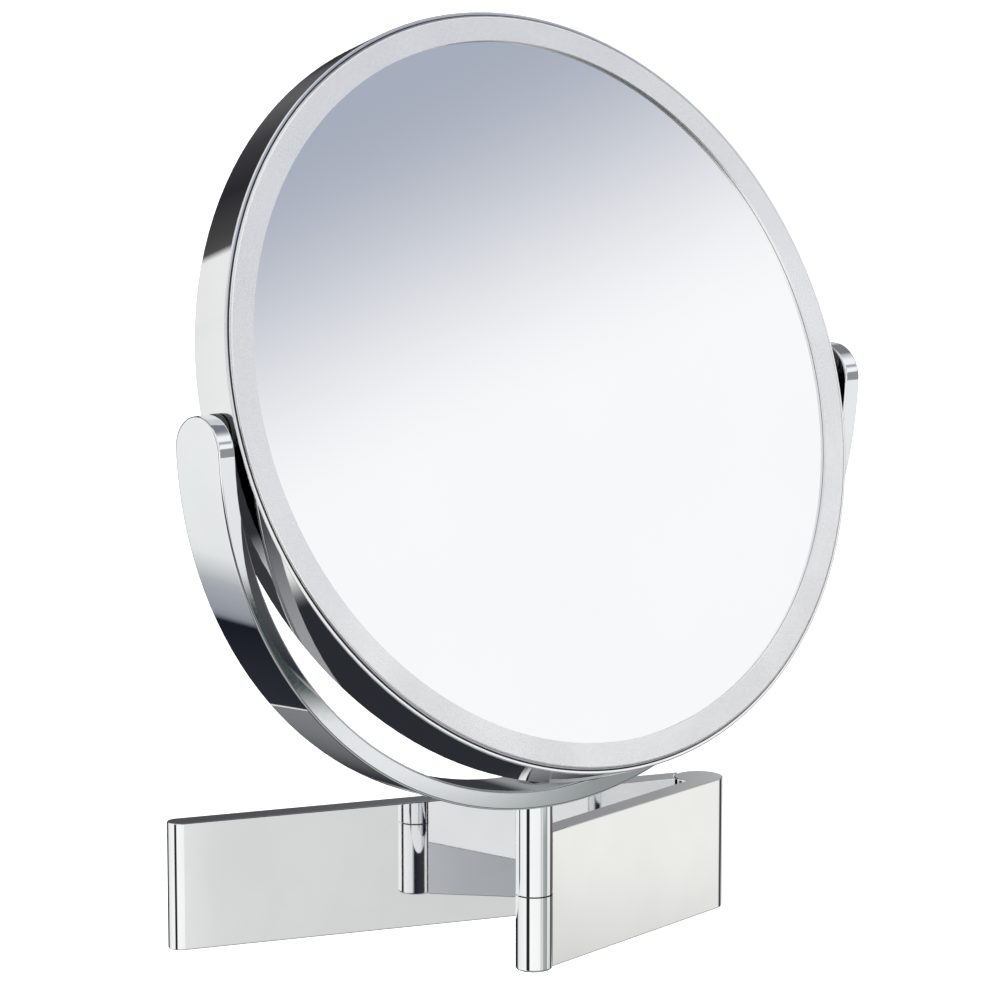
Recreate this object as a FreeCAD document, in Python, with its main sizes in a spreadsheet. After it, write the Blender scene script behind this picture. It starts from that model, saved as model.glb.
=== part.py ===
import FreeCAD, Part
import os

# Extendable shaving mirror for a bathroom wall, millimetres.
# +Z is up, the wall is the plane y = 0, the mirror stands on the -Y side of it.
# x = 0, z = 0 is the middle of the hidden wall bracket.
# A flat wall plate carries a flat swing arm on a concealed hinge at its right
# end. A swivel post in the arm's free end carries a half-ring yoke, and the
# double-sided round mirror head tilts between the ends of the yoke.

doc = FreeCAD.newDocument("shaving_mirror")

DIMS = [
    # wall plate
    ("plate_left", "-75.4"),        # axis of the plate's rounded left end
    ("plate_thick", "6.9"),
    ("plate_high", "34.4"),
    ("standoff", "10"),             # wall to the back of the plate
    ("plate_edge", "0.3"),
    ("pocket_long", "102"),
    ("pocket_high", "28"),
    ("pocket_deep", "3.4"),
    # wall bracket and its fasteners
    ("bracket_long", "100"),
    ("bracket_high", "27.4"),
    ("screw_pitch", "76"),
    ("wall_screw_r", "2.1"),
    ("wall_screw_head_r", "4.2"),
    ("wall_screw_long", "42"),
    ("plug_r", "4"),
    ("plug_long", "38"),
    ("grub_r", "1.5"),
    ("grub_x", "36"),
    # concealed hinge at the right end
    ("hinge_x", "73.4"),
    ("barrel_r", "6.7"),
    ("cut_r", "7.1"),               # concave end of the plate round the arm's barrel
    ("tongue_r", "4.3"),
    ("tongue_half", "9"),
    ("hinge_pocket_r", "4.6"),
    ("hinge_pocket_half", "9.8"),
    ("hinge_pin_r", "2"),
    ("hinge_bush_r", "2.9"),
    ("bush_gap", "0.05"),
    ("flange_thick", "0.5"),
    # swing arm
    ("arm_long", "79.9"),           # hinge axis to swivel axis, along the arm
    ("arm_thick", "6.1"),
    ("arm_top", "17.2"),
    ("arm_bottom", "-19.3"),
    ("arm_open", "30.6"),           # angle between arm and plate as built
    ("seam_z", "0.7"),            # top of the arm's lower barrel
    # swivel post
    ("swivel_r", "4.85"),
    ("post_bottom", "1.1"),
    ("swivel_pin_r", "2.1"),
    ("swivel_bush_r", "3"),
    ("chamber_r", "3.7"),
    ("chamber_top", "-12"),
    # yoke
    ("pivot_z", "133.1"),             # height of the mirror's tilt axis
    ("yoke_out_r", "107"),
    ("yoke_in_r", "102"),
    ("yoke_wide", "18.3"),
    ("yoke_end_drop", "4.8"),       # tilt axis down to the centre of the rounded end
    ("yoke_turn", "17.6"),
    ("yoke_edge", "0.6"),
    ("trunnion_r", "1.5"),
    ("trunnion_gap", "0.3"),
    # mirror head
    ("head_tilt", "19.3"),
    ("band_r", "100"),
    ("band_thick", "1.6"),
    ("band_half", "6.7"),
    ("bezel_out_r", "98.9"),
    ("bezel_in_r", "92.1"),
    ("bezel_thick", "0.9"),
    ("bezel_round", "0.7"),
    ("skirt_thick", "1.2"),
    ("skirt_deep", "3.2"),
    ("glass_r", "96.9"),
    ("glass_thick", "3"),
    ("rear_glass_thick", "2"),
    ("rear_sag", "5.5"),            # depth of the concave magnifying face
    ("carrier_in_r", "91"),
    ("carrier_half", "3.3"),
    ("head_bush_r", "2.2"),
    ("foam_r", "88"),
    ("foam_thick", "0.9"),
]

sheet = doc.addObject("Spreadsheet::Sheet", "dims")
for row, (alias, value) in enumerate(DIMS, start=1):
    sheet.set("A%d" % row, alias)
    sheet.set("B%d" % row, value)
    sheet.setAlias("B%d" % row, alias)
doc.recompute()

V = FreeCAD.Vector
X, Y, Z = V(1, 0, 0), V(0, 1, 0), V(0, 0, 1)


def val(alias):
    return float(getattr(sheet, alias))


def bind(obj, **props):
    """Bind properties to expressions; names in the text are spreadsheet aliases."""
    for prop, text in props.items():
        words = sorted((a for a, _ in DIMS), key=len, reverse=True)
        out, i, text = "", 0, str(text)
        while i < len(text):
            hit = next((w for w in words if text.startswith(w, i)
                        and not text[i + len(w):i + len(w) + 1].isalnum()
                        and text[i + len(w):i + len(w) + 1] != "_"
                        and not (i and (text[i - 1].isalnum() or text[i - 1] == "_"))), None)
            if hit:
                out, i = out + "dims." + hit, i + len(hit)
            else:
                out, i = out + text[i], i + 1
        obj.setExpression(prop.replace("__", "."), out)
    return obj


def at(obj, x=0, y=0, z=0, axis=None, angle=0):
    if axis is not None:
        obj.Placement = FreeCAD.Placement(V(0, 0, 0), FreeCAD.Rotation(axis, angle))
    return bind(obj, Placement__Base__x=x, Placement__Base__y=y, Placement__Base__z=z)


def cyl(name, radius, height, x=0, y=0, z=0, axis=None, angle=0):
    obj = doc.addObject("Part::Cylinder", name)
    return at(bind(obj, Radius=radius, Height=height), x, y, z, axis, angle)


def cone(name, r1, r2, height, x=0, y=0, z=0, axis=None, angle=0):
    obj = doc.addObject("Part::Cone", name)
    return at(bind(obj, Radius1=r1, Radius2=r2, Height=height), x, y, z, axis, angle)


def box(name, length, width, height, x=0, y=0, z=0):
    obj = doc.addObject("Part::Box", name)
    return at(bind(obj, Length=length, Width=width, Height=height), x, y, z)


def hexagon(name, circumradius, height, x=0, y=0, z=0, axis=None, angle=0):
    obj = doc.addObject("Part::Prism", name)
    obj.Polygon = 6
    return at(bind(obj, Circumradius=circumradius, Height=height), x, y, z, axis, angle)


def join(name, parts):
    obj = doc.addObject("Part::MultiFuse", name)
    obj.Shapes = parts
    obj.Refine = True
    return obj


def cut(name, base, *tools):
    obj = doc.addObject("Part::Cut", name)
    obj.Base = base
    obj.Tool = tools[0] if len(tools) == 1 else join(name + "_tools", list(tools))
    obj.Refine = True
    return obj


def common(name, a, b):
    obj = doc.addObject("Part::Common", name)
    obj.Base, obj.Tool = a, b
    return obj


def group(name, parts):
    obj = doc.addObject("Part::Compound", name)
    obj.Links = parts
    return obj


def rounded(name, base, alias, pick):
    """Fillet the edges of base for which pick(edge) is true."""
    doc.recompute()
    radius = val(alias)
    obj = doc.addObject("Part::Fillet", name)
    obj.Base = base
    obj.Edges = [(i, radius, radius) for i, e in enumerate(base.Shape.Edges, start=1) if pick(e)]
    doc.recompute()
    return obj


NODES = []


def node(label, obj, placement=None):
    if placement is not None:
        obj.Placement = placement
    obj.Label = label
    NODES.append(obj)
    return obj


# --------------------------------------------------------------- frames
# wall frame: as is.  arm frame: origin on the hinge axis, +X along the arm,
# +Y out of its front face.  yoke frame: origin on the tilt axis above the
# post, +X along the tilt axis, -Y forward.  disc frame: +Z out of the front
# glass, +X along the tilt axis.
HINGE_Y = -(val("standoff") + val("barrel_r"))
HINGE = V(val("hinge_x"), HINGE_Y, 0)
ARM = FreeCAD.Placement(HINGE, FreeCAD.Rotation(Z, 180 + val("arm_open")))
SWIVEL = ARM.multVec(V(val("arm_long"), val("barrel_r") - val("arm_thick") / 2, 0))
TURN = FreeCAD.Rotation(Z, val("yoke_turn"))
POST = FreeCAD.Placement(SWIVEL, TURN)
YOKE = FreeCAD.Placement(SWIVEL + V(0, 0, val("pivot_z")), TURN)
DISC = YOKE.multiply(FreeCAD.Placement(V(0, 0, 0), FreeCAD.Rotation(X, 90 - val("head_tilt"))))

# ----------------------------------------------------------- wall plate
front_y = "-(standoff + plate_thick)"
hinge_y = "-(standoff + barrel_r)"
plate_bar = join("plate_bar", [
    box("plate_box", "hinge_x - 3.6 - plate_left", "plate_thick", "plate_high",
        "plate_left", front_y, "-plate_high / 2"),
    cyl("plate_end", "plate_thick / 2", "plate_high",
        "plate_left", "-(standoff + plate_thick / 2)", "-plate_high / 2"),
])
plate_cut = cut("plate_cut", plate_bar,
                cyl("plate_concave", "cut_r", "plate_high + 2", "hinge_x", hinge_y,
                    "-plate_high / 2 - 1"))
plate_soft = rounded("plate_soft", plate_cut, "plate_edge",
                     lambda e: e.BoundBox.ZLength < 0.1 and e.BoundBox.XMax < 60)
plate_tongue = join("plate_tongue", [
    plate_soft,
    cyl("tongue_round", "tongue_r", "2 * tongue_half", "hinge_x", hinge_y, "-tongue_half"),
    box("tongue_neck", "9", "3.2", "2 * tongue_half", "hinge_x - 9", hinge_y, "-tongue_half"),
])
node("wall_plate", cut(
    "wall_plate_body", plate_tongue,
    box("plate_pocket", "pocket_long", "pocket_deep + 1", "pocket_high", "-pocket_long / 2",
        "-(standoff + pocket_deep)", "-pocket_high / 2"),
    cyl("tongue_bore", "hinge_bush_r", "2 * tongue_half + 2", "hinge_x", hinge_y,
        "-tongue_half - 1"),
    cyl("grub_hole_l", "grub_r", "6", "-grub_x", "-(standoff + 2.2)", "-plate_high / 2 - 1"),
    cyl("grub_hole_r", "grub_r", "6", "grub_x", "-(standoff + 2.2)", "-plate_high / 2 - 1"),
))

# -------------------------------------------------- bracket and fasteners
bracket_deep = "(standoff + pocket_deep - 0.4)"
bracket_tools = []
for side, sx in (("l", "-"), ("r", "")):
    x = sx + "screw_pitch / 2"
    bracket_tools += [
        cyl("bracket_bore_" + side, "wall_screw_r + 0.4", "40", x, "-30", "0", X, -90),
        cyl("bracket_cbore_" + side, "wall_screw_head_r + 0.4", "20", x,
            "-" + bracket_deep + " + 5", "0", X, 90),
        cyl("bracket_relief_" + side, "plug_r + 0.5", "3", x, "-1.2", "0", X, -90),
    ]
bracket_block = box("bracket_block", "bracket_long", bracket_deep, "bracket_high",
                    "-bracket_long / 2", "-" + bracket_deep, "-bracket_high / 2")
for side, x in (("l", "-28"), ("r", "8")):
    bracket_tools.append(box("bracket_pocket_" + side, "20", "9", "18", x, "-9", "-9"))
node("wall_bracket", cut("wall_bracket_body", bracket_block, *bracket_tools))

screws, plugs, grubs = [], [], []
for side, sx in (("l", "-"), ("r", "")):
    x = sx + "screw_pitch / 2"
    head_y = "-" + bracket_deep + " + 5"
    shank = join("wall_screw_solid_" + side, [
        cyl("wall_screw_head_" + side, "wall_screw_head_r", "2.6", x, head_y, "0", X, 90),
        cyl("wall_screw_shank_" + side, "wall_screw_r", "wall_screw_long - 5", x, head_y, "0",
            X, -90),
        cone("wall_screw_tip_" + side, "wall_screw_r", "0.3", "5", x,
             head_y + " + wall_screw_long - 5", "0", X, -90),
    ])
    screws.append(cut("wall_screw_" + side, shank, *[
        box("wall_screw_slot_%s%d" % (side, i), a, "1.6", b, x + " - %s / 2" % a,
            head_y + " - 3.2", "-%s / 2" % b)
        for i, (a, b) in enumerate((("4.6", "1"), ("1", "4.6")))]))
    plugs.append(cut("plug_" + side,
                     cyl("plug_body_" + side, "plug_r", "plug_long", x, "0.2", "0", X, -90),
                     cyl("plug_bore_" + side, "wall_screw_r", "plug_long + 2", x, "-0.5", "0",
                         X, -90),
                     box("plug_slit_" + side, "1", "plug_long - 10", "2 * plug_r + 3",
                         x + " - 0.5", "12", "-plug_r - 1.5")))
    gx = sx + "grub_x"
    grub = cyl("grub_body_" + side, "grub_r", "(plate_high - bracket_high) / 2 - 0.2", gx,
               "-(standoff + 2.2)", "-plate_high / 2 + 0.2")
    socket = hexagon("grub_socket_" + side, "0.8", "1.6", gx, "-(standoff + 2.2)",
                     "-plate_high / 2 - 0.2")
    grubs.append(cut("grub_" + side, grub, socket))
node("wall_screws", group("wall_screw_set", screws))
node("wall_plugs", group("plug_set", plugs))
node("plate_grub_screws", group("grub_set", grubs))

# ------------------------------------------------------------ swing arm
arm_high = "(arm_top - arm_bottom)"
swivel_y = "(barrel_r - arm_thick / 2)"    # the swivel axis lies in the middle of the bar
bar = cut("arm_bar",
          box("arm_box", "arm_long", "arm_thick", arm_high, "0", "barrel_r - arm_thick",
              "arm_bottom"),
          cyl("arm_end_hollow", "swivel_r + 0.3", "60", "arm_long", swivel_y, "-30"))
arm_solid = join("arm_solid", [
    bar,
    cyl("arm_hinge_barrel", "barrel_r", arm_high, "0", "0", "arm_bottom"),
])
arm_soft = rounded("arm_soft", arm_solid, "plate_edge",
                   lambda e: e.BoundBox.ZLength < 0.1 and e.BoundBox.XMin < 60)
arm_barrel = rounded("arm_barrel_soft",
                     cyl("arm_lower_barrel", "swivel_r", "seam_z - arm_bottom", "arm_long", swivel_y,
                         "arm_bottom"),
                     "yoke_edge", lambda e: e.BoundBox.ZMax < -15 and e.BoundBox.ZLength < 0.1)
arm_joined = join("arm_joined", [
    arm_soft, arm_barrel,
    box("arm_web", "9", "4.5", "seam_z - arm_bottom - 0.6", "arm_long - 9", swivel_y + " - 2.25",
        "arm_bottom + 0.3"),
])
node("swing_arm", cut(
    "swing_arm_body", arm_joined,
    cyl("hinge_room", "hinge_pocket_r", "2 * hinge_pocket_half", "0", "0", "-hinge_pocket_half"),
    box("hinge_room_back", "14", "7.6", "2 * hinge_pocket_half", "-7",
        "barrel_r - arm_thick - 7.65", "-hinge_pocket_half"),
    box("hinge_room_side", "4", "3", "2 * hinge_pocket_half", "-7", "-1.1",
        "-hinge_pocket_half"),
    cyl("hinge_pin_hole", "hinge_pin_r", "34", "0", "0", "arm_bottom"),
    cyl("hinge_screw_hole", "2.6", "4.3", "0", "0", "arm_bottom - 0.1"),
    cyl("swivel_bore", "swivel_bush_r", "30", "arm_long", swivel_y, "arm_bottom + 3"),
    cyl("swivel_flange_seat", "4", "5", "arm_long", swivel_y, "seam_z - 0.6"),
    cyl("swivel_chamber", "chamber_r", "chamber_top - arm_bottom + 1", "arm_long", swivel_y,
        "arm_bottom - 1"),
), ARM)

# ---------------------------------------------------------- hinge pieces
node("hinge_pin", rounded(
    "hinge_pin_body",
    cyl("hinge_pin_rod", "hinge_pin_r", "29", "0", "0", "arm_bottom + 4.4"),
    "plate_edge", lambda e: e.BoundBox.ZLength < 0.1), ARM)
bushes = []
for side, flange_z, sleeve_z in (("top", "tongue_half", "tongue_half - 5"),
                                 ("low", "-tongue_half - flange_thick", "-tongue_half")):
    sleeve = join("hinge_bush_solid_" + side, [
        cyl("hinge_bush_sleeve_" + side, "hinge_bush_r", "5", "hinge_x", hinge_y, sleeve_z),
        cyl("hinge_bush_flange_" + side, "tongue_r - 0.1", "flange_thick", "hinge_x", hinge_y,
            flange_z),
    ])
    bushes.append(cut("hinge_bush_" + side, sleeve,
                      cyl("hinge_bush_bore_" + side, "hinge_pin_r + bush_gap", "12", "hinge_x",
                          hinge_y, flange_z + " - 6")))
node("hinge_bushes", group("hinge_bush_set", bushes))
node("hinge_end_screw", cut(
    "hinge_end_screw_body",
    cyl("hinge_end_screw_rod", "2.6", "3.9", "0", "0", "arm_bottom + 0.3"),
    hexagon("hinge_end_screw_socket", "1.45", "2", "0", "0", "arm_bottom - 0.2")), ARM)

# --------------------------------------------------------- swivel pieces
post_top = "pivot_z - yoke_out_r + 1"
node("swivel_post", cut(
    "swivel_post_body",
    cyl("post_rod", "swivel_r", post_top + " - post_bottom", "0", "0", "post_bottom"),
    cyl("post_saddle", "yoke_out_r", "40", "0", "20", "pivot_z", X, 90),
    cyl("post_pin_hole", "swivel_pin_r", "12", "0", "0", "post_bottom - 0.1"),
    cyl("post_screw_hole", "2", "20", "0", "0", "14.5")), POST)
node("swivel_pin", cut(
    "swivel_pin_body",
    cyl("swivel_pin_rod", "swivel_pin_r", "11.8 - chamber_top + 0.9", "0", "0",
        "chamber_top - 0.9"),
    cyl("swivel_pin_thread", "1.5", "8", "0", "0", "chamber_top - 1.2")), POST)
node("swivel_bush", cut(
    "swivel_bush_body",
    join("swivel_bush_solid", [
        cyl("swivel_bush_sleeve", "swivel_bush_r", "seam_z - 0.6 - chamber_top - 0.4",
            "arm_long", swivel_y, "chamber_top + 0.4"),
        cyl("swivel_bush_flange", "3.8", "0.45", "arm_long", swivel_y, "seam_z - 0.6"),
    ]),
    cyl("swivel_bush_bore", "swivel_pin_r + bush_gap", "30", "arm_long", swivel_y, "-20")), ARM)
node("swivel_spring_washer", cut(
    "swivel_spring_washer_body",
    cyl("spring_washer_disc", "3.3", "0.5", "0", "0", "chamber_top - 0.85"),
    cyl("spring_washer_bore", "swivel_pin_r + bush_gap", "3", "0", "0", "chamber_top - 2"),
    box("spring_washer_split", "6", "0.6", "3", "0", "-0.3", "chamber_top - 2")), POST)
node("swivel_washer", cut(
    "swivel_washer_body",
    cyl("swivel_washer_disc", "3.3", "0.6", "0", "0", "chamber_top - 1.5"),
    cyl("swivel_washer_bore", "1.6", "3", "0", "0", "chamber_top - 3")), POST)
node("swivel_screw", cut(
    "swivel_screw_body",
    join("swivel_screw_solid", [
        cyl("swivel_screw_head", "2.6", "1.8", "0", "0", "chamber_top - 3.3"),
        cyl("swivel_screw_shank", "1.5", "7.8", "0", "0", "chamber_top - 1.6"),
    ]),
    hexagon("swivel_screw_socket", "1.2", "1.4", "0", "0", "chamber_top - 3.5")), POST)
node("arm_end_plug", rounded(
    "arm_end_plug_body",
    cyl("arm_end_plug_disc", "chamber_r", "2", "arm_long", swivel_y, "arm_bottom + 0.1"),
    "plate_edge", lambda e: e.BoundBox.ZMax < val("arm_bottom") + 1), ARM)

# ----------------------------------------------------------------- yoke
ring = cut("yoke_ring",
           cyl("yoke_outer", "yoke_out_r", "yoke_wide", "0", "yoke_wide / 2", "0", X, 90),
           cyl("yoke_inner", "yoke_in_r", "yoke_wide + 4", "0", "yoke_wide / 2 + 2", "0", X, 90))
outline = join("yoke_outline", [
    box("yoke_outline_box", "2 * yoke_out_r + 10", "yoke_wide", "yoke_out_r + 5",
        "-yoke_out_r - 5", "-yoke_wide / 2", "-yoke_end_drop - yoke_out_r - 5"),
    cyl("yoke_outline_end", "yoke_wide / 2", "2 * yoke_out_r + 10", "-yoke_out_r - 5", "0",
        "-yoke_end_drop", Y, 90),
])
yoke_soft = rounded("yoke_soft", common("yoke_bent", ring, outline), "yoke_edge",
                    lambda e: e.Length > 12)
node("yoke", cut(
    "yoke_body", yoke_soft,
    cyl("trunnion_seat_l", "trunnion_r", "yoke_in_r + 3.5", "-yoke_in_r - 3.5", "0", "0", Y, 90),
    cyl("trunnion_seat_r", "trunnion_r", "yoke_in_r + 3.5", "0", "0", "0", Y, 90),
    cyl("yoke_screw_hole", "2", "20", "0", "0", "-yoke_out_r - 5"),
    cone("yoke_screw_sink", "2", "4.6", "2.6", "0", "0", "-yoke_in_r - 2.4"),
), YOKE)
node("yoke_screw", cut(
    "yoke_screw_body",
    join("yoke_screw_solid", [
        cone("yoke_screw_head", "2", "4.1", "2.1", "0", "0", "-yoke_in_r - 2.4"),
        cyl("yoke_screw_shank", "2", "12", "0", "0", "-yoke_in_r - 14.4"),
    ]),
    hexagon("yoke_screw_socket", "1.45", "2", "0", "0", "-yoke_in_r - 1.6")), YOKE)

pins, washers, sleeves = [], [], []
for side, tag in ((-1, "l"), (1, "r")):
    turn = 90 * side
    sign = "-" if side < 0 else ""
    pins.append(cyl("trunnion_pin_" + tag, "trunnion_r", "yoke_in_r + 3.5 - 92.8", sign + "92.8",
                    "0", "0", Y, turn))
    washers.append(cut(
        "trunnion_washer_" + tag,
        cyl("trunnion_washer_disc_" + tag, "4.5", "yoke_in_r - band_r - trunnion_gap - 0.15",
            sign + "(band_r + trunnion_gap)", "0", "0", Y, turn),
        cyl("trunnion_washer_bore_" + tag, "trunnion_r + bush_gap", "20", sign + "90", "0", "0",
            Y, turn)))
    sleeves.append(cut(
        "head_bush_" + tag,
        cyl("head_bush_sleeve_" + tag, "head_bush_r", "8.2", sign + "91.3", "0", "0", Y, turn),
        cyl("head_bush_bore_" + tag, "trunnion_r + bush_gap", "20", sign + "85", "0", "0",
            Y, turn)))
node("trunnion_pins", group("trunnion_pin_set", pins), YOKE)
node("trunnion_washers", group("trunnion_washer_set", washers), YOKE)
node("head_bushes", group("head_bush_set", sleeves), DISC)

# ---------------------------------------------------------- mirror head
band_tube = cut("band_tube",
                cyl("band_outer", "band_r", "2 * band_half", "0", "0", "-band_half"),
                cyl("band_inner", "band_r - band_thick", "2 * band_half + 4", "0", "0",
                    "-band_half - 2"))
band_soft = rounded("band_soft", band_tube, "plate_edge",
                    lambda e: e.BoundBox.ZLength < 0.1 and e.BoundBox.XMax > val("band_r") - 0.1)
node("mirror_band", cut(
    "mirror_band_body", band_soft,
    cyl("band_pivot_hole", "head_bush_r", "3 * band_r", "-1.5 * band_r", "0", "0", Y, 90)), DISC)


def bezel(tag):
    """Front-facing bezel: flat ring face with a skirt that plugs into the band."""
    solid = join("bezel_solid_" + tag, [
        cyl("bezel_face_" + tag, "bezel_out_r", "bezel_thick", "0", "0", "band_half"),
        cyl("bezel_skirt_" + tag, "band_r - band_thick", "skirt_deep", "0", "0",
            "band_half - skirt_deep"),
    ])
    bored = cut("bezel_bored_" + tag, solid,
                cyl("bezel_window_" + tag, "bezel_in_r", "20", "0", "0", "-10"),
                cyl("bezel_inside_" + tag, "band_r - band_thick - skirt_thick", "20", "0", "0",
                    "band_half - 20"))
    return rounded("bezel_soft_" + tag, bored, "bezel_round",
                   lambda e: e.BoundBox.ZMin > val("band_half") + 0.5
                   and e.BoundBox.XMax > val("bezel_out_r") - 0.5)


node("front_bezel", bezel("front"), DISC)
REAR = DISC.multiply(FreeCAD.Placement(V(0, 0, 0), FreeCAD.Rotation(X, 180)))
node("rear_bezel", bezel("rear"), REAR)

glass_top = "band_half - 0.1"
node("front_glass", group("front_glass_body", [
    cyl("front_glass_disc", "glass_r", "glass_thick", "0", "0", glass_top + " - glass_thick")]),
    DISC)
# The magnifying glass is a shell between two concentric spheres; its rim
# lies against the rear bezel and its middle is sunk towards the front glass.
# In the rear frame its viewed face is z = band_half at the rim.
curve = "((glass_r * glass_r + rear_sag * rear_sag) / (2 * rear_sag))"
ball_z = "(band_half - 0.1 + " + curve + " - rear_sag)"
balls = []
for tag, radius in (("near", curve), ("far", curve + " + rear_glass_thick")):
    ball = doc.addObject("Part::Sphere", "rear_glass_ball_" + tag)
    balls.append(at(bind(ball, Radius=radius), "0", "0", ball_z))
blank = cyl("rear_glass_blank", "glass_r", "20", "0", "0", glass_top + " - 15")
node("rear_glass", cut("rear_glass_body", common("rear_glass_dome", blank, balls[1]), balls[0]),
     REAR)

node("glass_carrier", cut(
    "glass_carrier_body",
    cyl("carrier_outer", "glass_r - 0.1", "2 * carrier_half", "0", "0", "-carrier_half"),
    cyl("carrier_inner", "carrier_in_r", "20", "0", "0", "-10"),
    cyl("carrier_pivot_hole", "head_bush_r", "3 * band_r", "-1.5 * band_r", "0", "0", Y, 90)),
    DISC)
node("foam_pad", group("foam_pad_body", [
    cyl("foam_disc", "foam_r", "foam_thick", "0", "0",
        glass_top + " - glass_thick - foam_thick - 0.05")]), DISC)

# ------------------------------------------------------- check and export
doc.recompute()
for obj in doc.Objects:
    bad = [s for s in obj.State if s in ("Invalid", "Error")]
    if bad:
        raise RuntimeError("%s: %s" % (obj.Name, bad))
    if hasattr(obj, "Shape") and (obj.Shape.isNull() or not obj.Shape.isValid()):
        raise RuntimeError("bad shape: " + obj.Name)

os.makedirs("parts", exist_ok=True)
for obj in NODES:
    obj.Shape.exportStep("parts/%s.step" % obj.Label)
    b = obj.Shape.BoundBox
    print("%-22s solids %d  volume %9.1f  box %7.1f %7.1f %7.1f  size %6.1f %6.1f %6.1f" % (
        obj.Label, len(obj.Shape.Solids), obj.Shape.Volume, b.XMin, b.YMin, b.ZMin,
        b.XLength, b.YLength, b.ZLength))
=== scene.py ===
import math

import bpy
from mathutils import Matrix, Vector


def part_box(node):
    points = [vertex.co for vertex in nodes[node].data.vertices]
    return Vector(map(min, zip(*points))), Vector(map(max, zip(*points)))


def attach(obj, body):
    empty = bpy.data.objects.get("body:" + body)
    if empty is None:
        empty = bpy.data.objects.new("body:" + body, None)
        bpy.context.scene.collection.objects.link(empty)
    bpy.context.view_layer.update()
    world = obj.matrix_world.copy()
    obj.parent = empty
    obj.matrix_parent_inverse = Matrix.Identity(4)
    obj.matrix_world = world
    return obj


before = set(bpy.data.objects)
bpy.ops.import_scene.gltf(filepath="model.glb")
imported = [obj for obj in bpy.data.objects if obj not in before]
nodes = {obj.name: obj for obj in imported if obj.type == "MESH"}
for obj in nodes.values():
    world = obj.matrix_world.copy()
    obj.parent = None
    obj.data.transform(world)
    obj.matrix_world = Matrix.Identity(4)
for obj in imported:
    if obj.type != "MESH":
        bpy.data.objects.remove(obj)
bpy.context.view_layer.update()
scene = bpy.context.scene


# ------------------------------------------------------------ node helpers
class Graph:
    """Small wrapper that adds and links shader nodes."""

    def __init__(self, tree):
        self.tree = tree
        tree.nodes.clear()

    def add(self, kind, **props):
        node = self.tree.nodes.new(kind)
        for key, value in props.items():
            setattr(node, key, value)
        return node

    def set(self, node, values):
        """Give sockets, named or numbered, a number or another socket."""
        for key, value in values.items():
            if isinstance(value, bpy.types.NodeSocket):
                self.tree.links.new(value, node.inputs[key])
            else:
                node.inputs[key].default_value = value
        return node

    def math(self, op, a, b):
        node = self.add("ShaderNodeMath", operation=op)
        return self.set(node, {0: a, 1: b}).outputs[0]

    def times(self, a, b):
        return self.math("MULTIPLY", a, b)

    def ramp(self, fac, lo, hi, to_lo=0.0, to_hi=1.0):
        """A soft step from to_lo to to_hi as fac goes from lo to hi."""
        node = self.add("ShaderNodeMapRange", interpolation_type="SMOOTHSTEP")
        return self.set(node, {0: fac, 1: lo, 2: hi, 3: to_lo, 4: to_hi}).outputs[0]

    def fall(self, fac, lo, hi):
        return self.ramp(fac, lo, hi, 1.0, 0.0)

    def window(self, value, lo, hi, soft):
        """1 between lo and hi, fading to 0 over the soft width outside."""
        return self.times(self.ramp(value, lo - soft, lo), self.fall(value, hi, hi + soft))

    def mix(self, fac, a, b):
        node = self.add("ShaderNodeMix", data_type="RGBA")
        return self.set(node, {0: fac, 6: a, 7: b}).outputs[2]

    def noise(self, where, scale, detail=2.0, rough=0.5):
        node = self.add("ShaderNodeTexNoise")
        self.set(node, {"Vector": where, "Scale": scale, "Detail": detail, "Roughness": rough})
        return node.outputs[0]

    def stretch(self, where, scale):
        node = self.add("ShaderNodeMapping")
        return self.set(node, {"Vector": where, "Scale": scale}).outputs[0]

    def bump(self, height, distance, strength=1.0):
        node = self.add("ShaderNodeBump")
        self.set(node, {"Height": height, "Distance": distance, "Strength": strength})
        return node.outputs[0]


def material(name, values):
    """A Principled material, its graph and the position on the object."""
    mat = bpy.data.materials.new(name)
    mat.use_nodes = True
    g = Graph(mat.node_tree)
    out = g.add("ShaderNodeOutputMaterial")
    bsdf = g.set(g.add("ShaderNodeBsdfPrincipled"), values)
    g.set(out, {0: bsdf.outputs[0]})
    where = g.add("ShaderNodeTexCoord").outputs["Object"]
    return mat, g, bsdf, where


def polished(name, tint, rough):
    """Plated and buffed metal: a faint cloudiness and fine buffing marks."""
    mat, g, bsdf, where = material(name, {"Metallic": 1.0})
    cloud = g.noise(where, 35.0, 3.0)
    fine = g.noise(where, 900.0, 2.0)
    deep = tuple(c * 0.965 for c in tint) + (1,)
    g.set(bsdf, {
        "Base Color": g.mix(g.ramp(cloud, 0.35, 0.65), (*tint, 1), deep),
        "Roughness": g.ramp(fine, 0.3, 0.7, rough, rough * 1.7),
        "Normal": g.bump(cloud, 0.000004),
    })
    return mat


def satin(name, tint, grain):
    """Fine bead-blasted plating: bright metal with a very fine grain."""
    mat, g, bsdf, where = material(name, {"Metallic": 1.0})
    speck = g.noise(where, grain, 2.0, 0.6)
    cloud = g.noise(where, 40.0)
    dark = tuple(c * 0.92 for c in tint) + (1,)
    g.set(bsdf, {
        "Base Color": g.mix(g.ramp(speck, 0.3, 0.7), dark, (*tint, 1)),
        "Roughness": g.ramp(cloud, 0.3, 0.7, 0.22, 0.28),
        "Normal": g.bump(speck, 0.00003, 0.6),
    })
    return mat


def mirror(name, tint):
    """Silvered glass: almost perfect, with a trace of haze."""
    mat, g, bsdf, where = material(name, {"Metallic": 1.0})
    haze = g.noise(where, 18.0, 4.0)
    soft = tuple(c * 0.99 for c in tint) + (1,)
    g.set(bsdf, {
        "Base Color": g.mix(g.ramp(haze, 0.3, 0.7), (*tint, 1), soft),
        "Roughness": g.ramp(haze, 0.35, 0.75, 0.004, 0.012),
    })
    return mat


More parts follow.
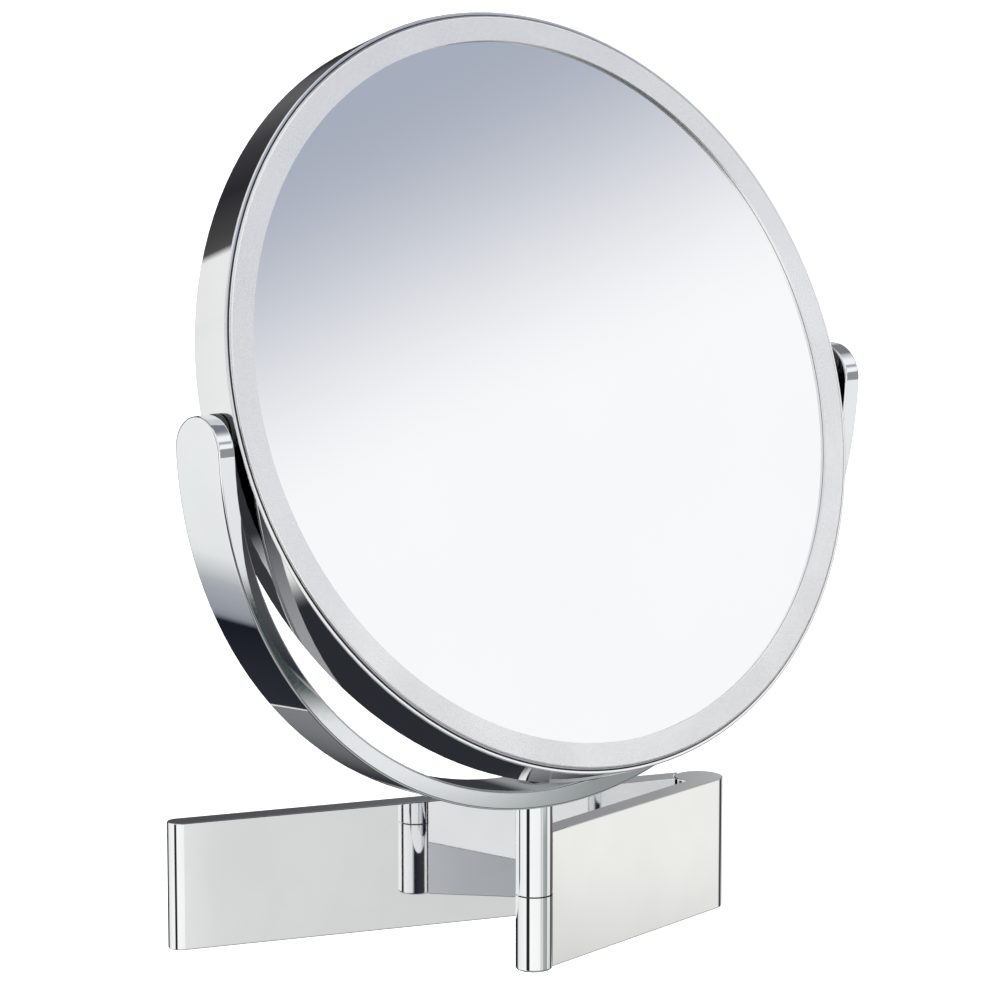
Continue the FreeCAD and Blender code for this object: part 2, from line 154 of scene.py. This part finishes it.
def turned(name, tint, rough):
    """Machined metal: fine rings left by the tool, and small stains."""
    mat, g, bsdf, where = material(name, {"Metallic": 1.0})
    ring = g.noise(g.stretch(where, (300.0, 300.0, 9000.0)), 1.0, 2.0)
    stain = g.noise(where, 220.0, 3.0)
    dark = tuple(c * 0.8 for c in tint) + (1,)
    g.set(bsdf, {
        "Base Color": g.mix(g.ramp(stain, 0.35, 0.7), (*tint, 1), dark),
        "Roughness": g.ramp(stain, 0.3, 0.7, rough, rough + 0.12),
        "Normal": g.bump(ring, 0.00002, 0.5),
    })
    return mat


def moulded(name, tint, rough, scale, height):
    """Moulded plastic or foam: a grained skin with a little mottling."""
    mat, g, bsdf, where = material(name, {"Specular IOR Level": 0.45})
    skin = g.noise(where, scale, 3.0, 0.6)
    tone = g.noise(where, 60.0)
    dark = tuple(c * 0.82 for c in tint) + (1,)
    g.set(bsdf, {
        "Base Color": g.mix(g.ramp(tone, 0.3, 0.7), (*tint, 1), dark),
        "Roughness": g.ramp(skin, 0.3, 0.7, rough - 0.08, rough + 0.08),
        "Normal": g.bump(skin, height, 0.7),
    })
    return mat


def put(mat, *names):
    """Give CAD nodes a material."""
    for name in names:
        mesh = nodes[name].data
        mesh.materials.clear()
        mesh.materials.append(mat)


chrome = (0.900, 0.905, 0.910)
put(polished("chrome_plate", chrome, 0.018), "wall_plate")
put(polished("chrome_arm", chrome, 0.018), "swing_arm", "arm_end_plug")
put(polished("chrome_yoke", (0.890, 0.905, 0.915), 0.020), "yoke", "swivel_post")
put(polished("chrome_band", (0.895, 0.897, 0.900), 0.022), "mirror_band")
put(satin("satin_bezel", (0.975, 0.975, 0.97), 2600.0), "front_bezel", "rear_bezel")
put(mirror("mirror_glass", (0.960, 0.964, 0.970)), "front_glass", "rear_glass")
put(turned("steel", (0.62, 0.61, 0.59), 0.26),
    "wall_screws", "plate_grub_screws", "hinge_pin", "hinge_end_screw", "swivel_pin",
    "swivel_spring_washer", "swivel_washer", "swivel_screw", "yoke_screw", "trunnion_pins")
put(satin("bracket_zinc", (0.66, 0.67, 0.68), 500.0), "wall_bracket")
put(moulded("nylon", (0.80, 0.79, 0.75), 0.42, 1200.0, 0.00003),
    "hinge_bushes", "swivel_bush", "head_bushes")
put(moulded("washer_nylon", (0.030, 0.030, 0.032), 0.40, 1200.0, 0.00003), "trunnion_washers")
put(moulded("plug_nylon", (0.52, 0.53, 0.54), 0.48, 900.0, 0.00005), "wall_plugs")
put(moulded("carrier_plastic", (0.055, 0.056, 0.058), 0.45, 1500.0, 0.00004), "glass_carrier")
put(moulded("foam", (0.10, 0.10, 0.105), 0.85, 1100.0, 0.0003), "foam_pad")


# ------------------------------------------------------------ rim rings: painted shade of the bezel grooves
YOKE_TURN = 17.6      # degrees, about the vertical
HEAD_TILT = 19.3      # degrees, leaning back
BAND_HALF = 0.0067    # half the depth of the band
SHADOW_RING_R = 0.09902    # radius of the ring's centre line
SHADOW_RING_THICK = 0.00017
SHADOW_RING_STEPS, SHADOW_RING_SIDES = 256, 8


def frame_of_head():
    """Place and turn of the head: Z is the axis of the front glass."""
    lo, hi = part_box("mirror_band")
    middle = (Vector(lo) + Vector(hi)) / 2
    turn = Matrix.Rotation(math.radians(YOKE_TURN), 4, "Z")
    lean = Matrix.Rotation(math.radians(90 - HEAD_TILT), 4, "X")
    return Matrix.Translation(middle) @ turn @ lean


def shadow_ring(name, side, mat):
    """A thin black ring at the joint of a bezel and the band: painted shade standing in for
    the shadow in the groove there.
    """
    head = frame_of_head()
    verts, faces = [], []
    for i in range(SHADOW_RING_STEPS):
        a = 2 * math.pi * i / SHADOW_RING_STEPS
        here, after = i * SHADOW_RING_SIDES, (i + 1) % SHADOW_RING_STEPS * SHADOW_RING_SIDES
        for j in range(SHADOW_RING_SIDES):
            b = 2 * math.pi * j / SHADOW_RING_SIDES
            k = (j + 1) % SHADOW_RING_SIDES
            r = SHADOW_RING_R + SHADOW_RING_THICK * math.cos(b)
            z = side * BAND_HALF + SHADOW_RING_THICK * math.sin(b)
            verts.append(head @ Vector((r * math.cos(a), r * math.sin(a), z)))
            faces.append((here + j, after + j, after + k, here + k))
    mesh = bpy.data.meshes.new(name)
    mesh.from_pydata(verts, [], faces)
    mesh.polygons.foreach_set("use_smooth", [True] * len(faces))
    mesh.materials.append(mat)
    piece = bpy.data.objects.new(name, mesh)
    scene.collection.objects.link(piece)
    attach(piece, "mirror_head")


# Black rings at both rims are painted shade for the groove between each bezel and the band.
shadow_ring_black = moulded("shadow_ring_material", (0.012, 0.012, 0.013), 0.5, 2500.0, 0.00001)
shadow_ring("front_shadow_ring", 1, shadow_ring_black)
shadow_ring("rear_shadow_ring", -1, shadow_ring_black)


# ----------------------------------------------------------------- camera
cam_data = bpy.data.cameras.new("camera")
cam_data.sensor_width = 36.0
cam_data.lens = 164.448
cam_data.clip_end = 400.0
camera = bpy.data.objects.new("camera", cam_data)
scene.collection.objects.link(camera)
camera.location = (-0.43539, -1.13616, 0.30238)
camera.rotation_euler = (math.radians(80.388), 0.0, math.radians(-21.893))
scene.camera = camera


# ------------------------------------------------------- studio and floor
scene.view_settings.view_transform = "Standard"

# Light boxes and dark flags stand round the object. Only reflections and
# diffuse light see them: the camera sees plain white. Each row is a compass
# angle, in degrees anticlockwise from +X, and the light's colour there.
AROUND = [
    (-180, (1.00, 1.00, 1.00)), (-163, (1.00, 1.00, 1.00)), (-159, (0.02, 0.02, 0.02)),
    (-142, (0.02, 0.02, 0.02)), (-138, (1.05, 1.05, 1.05)), (-72.2, (1.00, 1.00, 1.00)),
    (-71.8, (0.76, 0.76, 0.76)), (-66, (0.66, 0.66, 0.66)), (-50, (0.84, 0.85, 0.86)),
    (-22, (0.90, 0.91, 0.91)), (-16, (0.96, 0.95, 0.92)), (4, (0.96, 0.95, 0.92)),
    (9, (0.05, 0.05, 0.055)), (27, (0.05, 0.05, 0.055)), (34, (0.80, 0.81, 0.82)),
    (46, (0.80, 0.81, 0.82)), (52, (0.05, 0.05, 0.055)), (100, (0.025, 0.027, 0.035)),
    (121.5, (0.010, 0.012, 0.02)), (122.5, (0.30, 0.32, 0.36)), (129, (0.42, 0.44, 0.47)),
    (134, (0.88, 0.89, 0.88)), (180, (1.00, 1.00, 1.00)),
]
# The same for directions well above the horizon.
ABOVE = [
    (-180, (0.95, 0.95, 0.95)), (-163, (0.95, 0.95, 0.95)), (-156, (0.20, 0.20, 0.21)),
    (-142, (0.20, 0.20, 0.21)), (-134, (0.92, 0.92, 0.92)),
    (-100, (0.70, 0.71, 0.73)), (-60, (0.98, 0.98, 0.99)), (8, (0.98, 0.98, 0.99)),
    (18, (0.22, 0.22, 0.23)), (56, (0.22, 0.22, 0.23)), (62, (0.62, 0.63, 0.64)),
    (64.4, (0.60, 0.61, 0.62)), (65.6, (0.34, 0.34, 0.35)), (67.2, (0.32, 0.32, 0.33)),
    (69, (0.13, 0.13, 0.135)), (71.5, (0.085, 0.085, 0.09)), (85, (0.12, 0.12, 0.125)),
    (96, (0.05, 0.05, 0.055)), (108, (0.025, 0.025, 0.03)), (118, (0.06, 0.06, 0.06)),
    (121, (0.08, 0.08, 0.08)), (121.8, (0.90, 0.90, 0.90)), (180, (0.95, 0.95, 0.95)),
]

world = bpy.data.worlds.new("studio")
scene.world = world
world.use_nodes = True
w = Graph(world.node_tree)
way = w.add("ShaderNodeTexCoord").outputs["Generated"]
axes = w.set(w.add("ShaderNodeSeparateXYZ"), {0: way})
up = axes.outputs[2]
compass = w.math("ARCTAN2", axes.outputs[1], axes.outputs[0])
turn = w.math("ADD", w.math("DIVIDE", compass, 2 * math.pi), 0.5)


def panels(stops):
    """Light boxes by compass angle, as one colour ramp."""
    node = w.set(w.add("ShaderNodeValToRGB"), {0: turn})
    ramp = node.color_ramp
    for index, (angle, light) in enumerate(stops):
        place = (angle + 180) / 360
        if index < 2:
            stop = ramp.elements[index]
            stop.position = place
        else:
            stop = ramp.elements.new(place)
        stop.color = (*light, 1)
    return node.outputs[0]


def dot(vector):
    node = w.add("ShaderNodeVectorMath", operation="DOT_PRODUCT")
    return w.set(node, {0: way, 1: vector}).outputs["Value"]


def colour(r, g, b):
    return (r, g, b, 1)


sky = w.mix(w.ramp(up, 0.05, 0.16), panels(AROUND), panels(ABOVE))
degrees = w.times(compass, 180 / math.pi)

# A blue-grey flag hangs over the light that the mirror glass faces.
slope = dot((-0.305, 0.167, 0.938))
flag = w.times(w.ramp(slope, 0.009, 0.088), w.fall(slope, 0.13, 0.20))
flag = w.times(flag, w.window(degrees, -62, 0, 12))
flag = w.times(flag, w.ramp(up, 0.20, 0.30))
sky = w.mix(flag, sky, colour(0.40, 0.435, 0.52))

# A low dark card gives the yoke's front face its dark stretch, and grey ones
# under it darken the foot of the yoke and of the swivel barrel.
beside = w.window(degrees, -52, -24, 4)
card = w.times(w.window(up, -0.206, -0.190, 0.009), beside)
sky = w.mix(card, sky, colour(0.05, 0.065, 0.065))
foot = w.times(w.fall(up, -0.240, -0.224), beside)
sky = w.mix(foot, sky, colour(0.38, 0.41, 0.41))
corner = w.times(w.ramp(degrees, -33.6, -31.4), w.fall(degrees, -26, -22))
corner = w.times(corner, w.window(up, -0.30, -0.212, 0.01))
sky = w.mix(corner, sky, colour(0.30, 0.32, 0.32))

# A grey card near the horizon shades the foot of the satin bezels.
card = w.times(w.window(up, -0.06, 0.19, 0.05), w.window(degrees, -62, 2, 8))
sky = w.mix(card, sky, colour(0.30, 0.30, 0.31))

# The light box beside the arm fades towards its lower edge.
fade = w.times(w.fall(up, -0.285, -0.235), w.window(degrees, -15, 4, 3))
sky = w.mix(fade, sky, colour(0.62, 0.615, 0.60))

# A light ceiling, with a dark flag in it over the back right.
ceiling = w.mix(w.ramp(axes.outputs[0], -0.6, 0.6), colour(0.70, 0.71, 0.74),
                colour(0.95, 0.96, 0.98))
ceiling = w.mix(w.window(degrees, -15, 95, 20), ceiling, colour(0.20, 0.21, 0.24))
sky = w.mix(w.ramp(up, 0.62, 0.80), sky, ceiling)

# A grey ground, dark at the back, and dark in front just under the horizon.
ground = w.mix(w.window(degrees, 40, 165, 15), colour(0.34, 0.345, 0.35),
               colour(0.025, 0.028, 0.035))
sky = w.mix(w.fall(up, -0.68, -0.58), sky, ground)
front = w.times(w.fall(up, -0.36, -0.275), w.window(degrees, -140, 25, 10))
deep = w.mix(w.ramp(up, -0.80, -0.36), colour(0.42, 0.42, 0.43), colour(0.035, 0.037, 0.045))
sky = w.mix(front, sky, deep)

seen = w.add("ShaderNodeLightPath").outputs["Is Camera Ray"]
backdrop = w.set(w.add("ShaderNodeBackground"), {0: w.mix(seen, sky, colour(1, 1, 1)), 1: 1.0})
w.set(w.add("ShaderNodeOutputWorld"), {0: backdrop.outputs[0]})

FLOOR_LEVEL = -0.35   # well below the object
FLOOR_REACH = 60.0


def floor_plane(level, reach):
    """A large pale floor that glows a little, hidden from reflections."""
    mesh = bpy.data.meshes.new("floor")
    corners = [(x * reach, y * reach, level) for x, y in ((-1, -1), (1, -1), (1, 1), (-1, 1))]
    mesh.from_pydata(corners, [], [(0, 1, 2, 3)])
    floor = bpy.data.objects.new("floor", mesh)
    scene.collection.objects.link(floor)
    mat, g, bsdf, where = material("pale_floor", {
        "Roughness": 0.8, "Emission Color": (1, 1, 1, 1), "Emission Strength": 0.9})
    tone = g.noise(where, 0.6)
    g.set(bsdf, {"Base Color": g.mix(tone, (0.90, 0.90, 0.90, 1), (0.86, 0.86, 0.86, 1))})
    mesh.materials.append(mat)
    floor.visible_glossy = False


floor_plane(FLOOR_LEVEL, FLOOR_REACH)


LOOK_AT = (0.0, 0.0, 0.1)


def area_light(name, place, size, power):
    """A soft light aimed at LOOK_AT, which doesn't show in reflections."""
    light = bpy.data.lights.new(name, "AREA")
    light.shape = "RECTANGLE"
    light.size, light.size_y = size
    light.energy = power
    lamp = bpy.data.objects.new(name, light)
    scene.collection.objects.link(lamp)
    lamp.location = place
    aim = [t - p for t, p in zip(LOOK_AT, place)]
    lamp.rotation_euler = (math.atan2(math.hypot(aim[0], aim[1]), -aim[2]), 0.0,
                           math.atan2(aim[1], aim[0]) - math.pi / 2)
    lamp.visible_glossy = False


area_light("key", (0.9, -1.4, 1.3), (1.0, 0.8), 14.0)
area_light("fill", (-1.5, -0.6, 0.7), (1.0, 1.0), 8.0)
